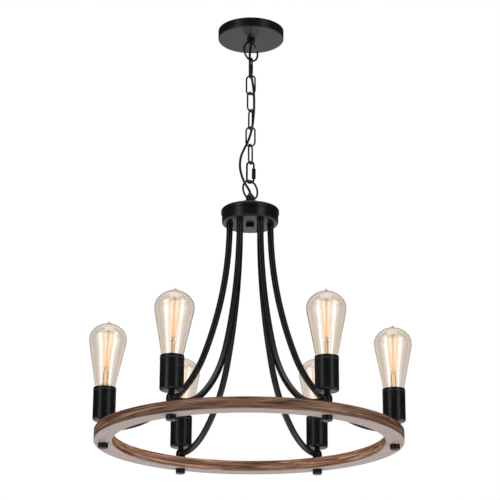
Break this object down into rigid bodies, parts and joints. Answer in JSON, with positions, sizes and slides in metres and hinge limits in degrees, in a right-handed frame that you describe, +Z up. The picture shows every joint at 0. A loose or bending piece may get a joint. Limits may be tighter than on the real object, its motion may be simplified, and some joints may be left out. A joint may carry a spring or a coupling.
{
  "type": "chandelier",
  "caption": "Ring chandelier on a chain: bent tube arms from a round hub carry a flat wooden hoop with black socket cups and tall filament bulbs, hung from a shallow canopy.",
  "frame": {"origin": "centre of the canopy's rim, on the ceiling plane", "axes": "+Z up into the ceiling, the crossbar along X; the picture looks along +Y from below"},
  "size_m": [0.5499, 0.52, 0.7675],
  "materials": {
    "black_metal": "satin black powder coat",
    "zinc_steel": "zinc plated",
    "green_screw": "green passivated",
    "black_cable": "matt black jacket",
    "weathered_wood": "weathered brown stain with dark streaks",
    "black_holder": "moulded",
    "bulb_brass": "rolled thread",
    "amber_glass": "clear with a faint amber tint",
    "filament": "warm bright wire"
  },
  "bodies": {
    "root": {"crossbar": "zinc_steel", "ground_screw": "green_screw", "canopy_nipple": "zinc_steel", "nipple_locknut": "zinc_steel", "canopy": "black_metal", "canopy_loop": "black_metal", "supply_cable": "black_cable"},
    "link_1": {"chain_link_1": "black_metal"},
    "link_2": {"chain_link_2": "black_metal"},
    "link_3": {"chain_link_3": "black_metal"},
    "link_4": {"chain_link_4": "black_metal"},
    "link_5": {"chain_link_5": "black_metal"},
    "link_6": {"chain_link_6": "black_metal"},
    "connector": {"quick_link": "black_metal"},
    "connector_sleeve": {"quick_link_sleeve": "black_metal"},
    "fixture": {"hub_loop": "black_metal", "hub_cap": "black_metal", "hub_cup": "black_metal", "hub_rod": "zinc_steel", "hub_cap_nut": "black_metal", "arm_ferrules": "black_metal", "arm_locknuts": "zinc_steel", "knuckles": "black_metal", "cap_nuts": "black_metal", "ring_nipples": "zinc_steel", "socket_nipples": "black_metal", "ring": "weathered_wood", "lampholders": "black_holder", "arm_1": "black_metal", "arm_2": "black_metal", "arm_3": "black_metal", "arm_4": "black_metal", "arm_5": "black_metal", "arm_6": "black_metal", "socket_cup_1": "black_metal", "socket_cup_2": "black_metal", "socket_cup_3": "black_metal", "socket_cup_4": "black_metal", "socket_cup_5": "black_metal", "socket_cup_6": "black_metal"},
    "bulb_1": {"bulb_cap_1": "bulb_brass", "bulb_glass_1": "amber_glass", "bulb_filament_1": "filament"},
    "bulb_2": {"bulb_cap_2": "bulb_brass", "bulb_glass_2": "amber_glass", "bulb_filament_2": "filament"},
    "bulb_3": {"bulb_cap_3": "bulb_brass", "bulb_glass_3": "amber_glass", "bulb_filament_3": "filament"},
    "bulb_4": {"bulb_cap_4": "bulb_brass", "bulb_glass_4": "amber_glass", "bulb_filament_4": "filament"},
    "bulb_5": {"bulb_cap_5": "bulb_brass", "bulb_glass_5": "amber_glass", "bulb_filament_5": "filament"},
    "bulb_6": {"bulb_cap_6": "bulb_brass", "bulb_glass_6": "amber_glass", "bulb_filament_6": "filament"}
  },
  "joints": [
    {"name": "swing_1", "type": "hinge", "parent": "root", "child": "link_1", "pos_m": [0, 0, -0.05725], "axis": [0.6947, 0.7193, 0], "range_deg": [-15, 15], "deforming": ["supply_cable"]},
    {"name": "swing_2", "type": "hinge", "parent": "link_1", "child": "link_2", "pos_m": [0, 0, -0.09015], "axis": [0.309, -0.9511, 0], "range_deg": [-15, 15], "deforming": ["supply_cable"]},
    {"name": "swing_3", "type": "hinge", "parent": "link_2", "child": "link_3", "pos_m": [0, 0, -0.1233], "axis": [0.9781, -0.2079, 0], "range_deg": [-15, 15], "deforming": ["supply_cable"]},
    {"name": "swing_4", "type": "hinge", "parent": "link_3", "child": "link_4", "pos_m": [0, 0, -0.15645], "axis": [0.7071, 0.7071, 0], "range_deg": [-15, 15], "deforming": ["supply_cable"]},
    {"name": "swing_5", "type": "hinge", "parent": "link_4", "child": "link_5", "pos_m": [0, 0, -0.1896], "axis": [0.4067, -0.9135, 0], "range_deg": [-15, 15], "deforming": ["supply_cable"]},
    {"name": "swing_6", "type": "hinge", "parent": "link_5", "child": "link_6", "pos_m": [0, 0, -0.22275], "axis": [0.9994, -0.0349, 0], "range_deg": [-15, 15], "deforming": ["supply_cable"]},
    {"name": "swing_7", "type": "hinge", "parent": "link_6", "child": "connector", "pos_m": [0, 0, -0.2559], "axis": [0.4067, 0.9135, 0], "range_deg": [-15, 15], "deforming": ["supply_cable"]},
    {"name": "swing_8", "type": "hinge", "parent": "connector", "child": "fixture", "pos_m": [0, 0, -0.2919], "axis": [0.9659, -0.2588, 0], "range_deg": [-15, 15], "deforming": ["supply_cable"]},
    {"name": "sleeve_travel", "type": "slide", "parent": "connector", "child": "connector_sleeve", "axis": [0, 0, 1], "range_m": [0, 0.007]},
    {"name": "bulb_1_unscrew", "type": "slide", "parent": "fixture", "child": "bulb_1", "axis": [0, 0, 1], "range_m": [0, 0.024]},
    {"name": "bulb_2_unscrew", "type": "slide", "parent": "fixture", "child": "bulb_2", "axis": [0, 0, 1], "range_m": [0, 0.024]},
    {"name": "bulb_3_unscrew", "type": "slide", "parent": "fixture", "child": "bulb_3", "axis": [0, 0, 1], "range_m": [0, 0.024]},
    {"name": "bulb_4_unscrew", "type": "slide", "parent": "fixture", "child": "bulb_4", "axis": [0, 0, 1], "range_m": [0, 0.024]},
    {"name": "bulb_5_unscrew", "type": "slide", "parent": "fixture", "child": "bulb_5", "axis": [0, 0, 1], "range_m": [0, 0.024]},
    {"name": "bulb_6_unscrew", "type": "slide", "parent": "fixture", "child": "bulb_6", "axis": [0, 0, 1], "range_m": [0, 0.024]}
  ]
}
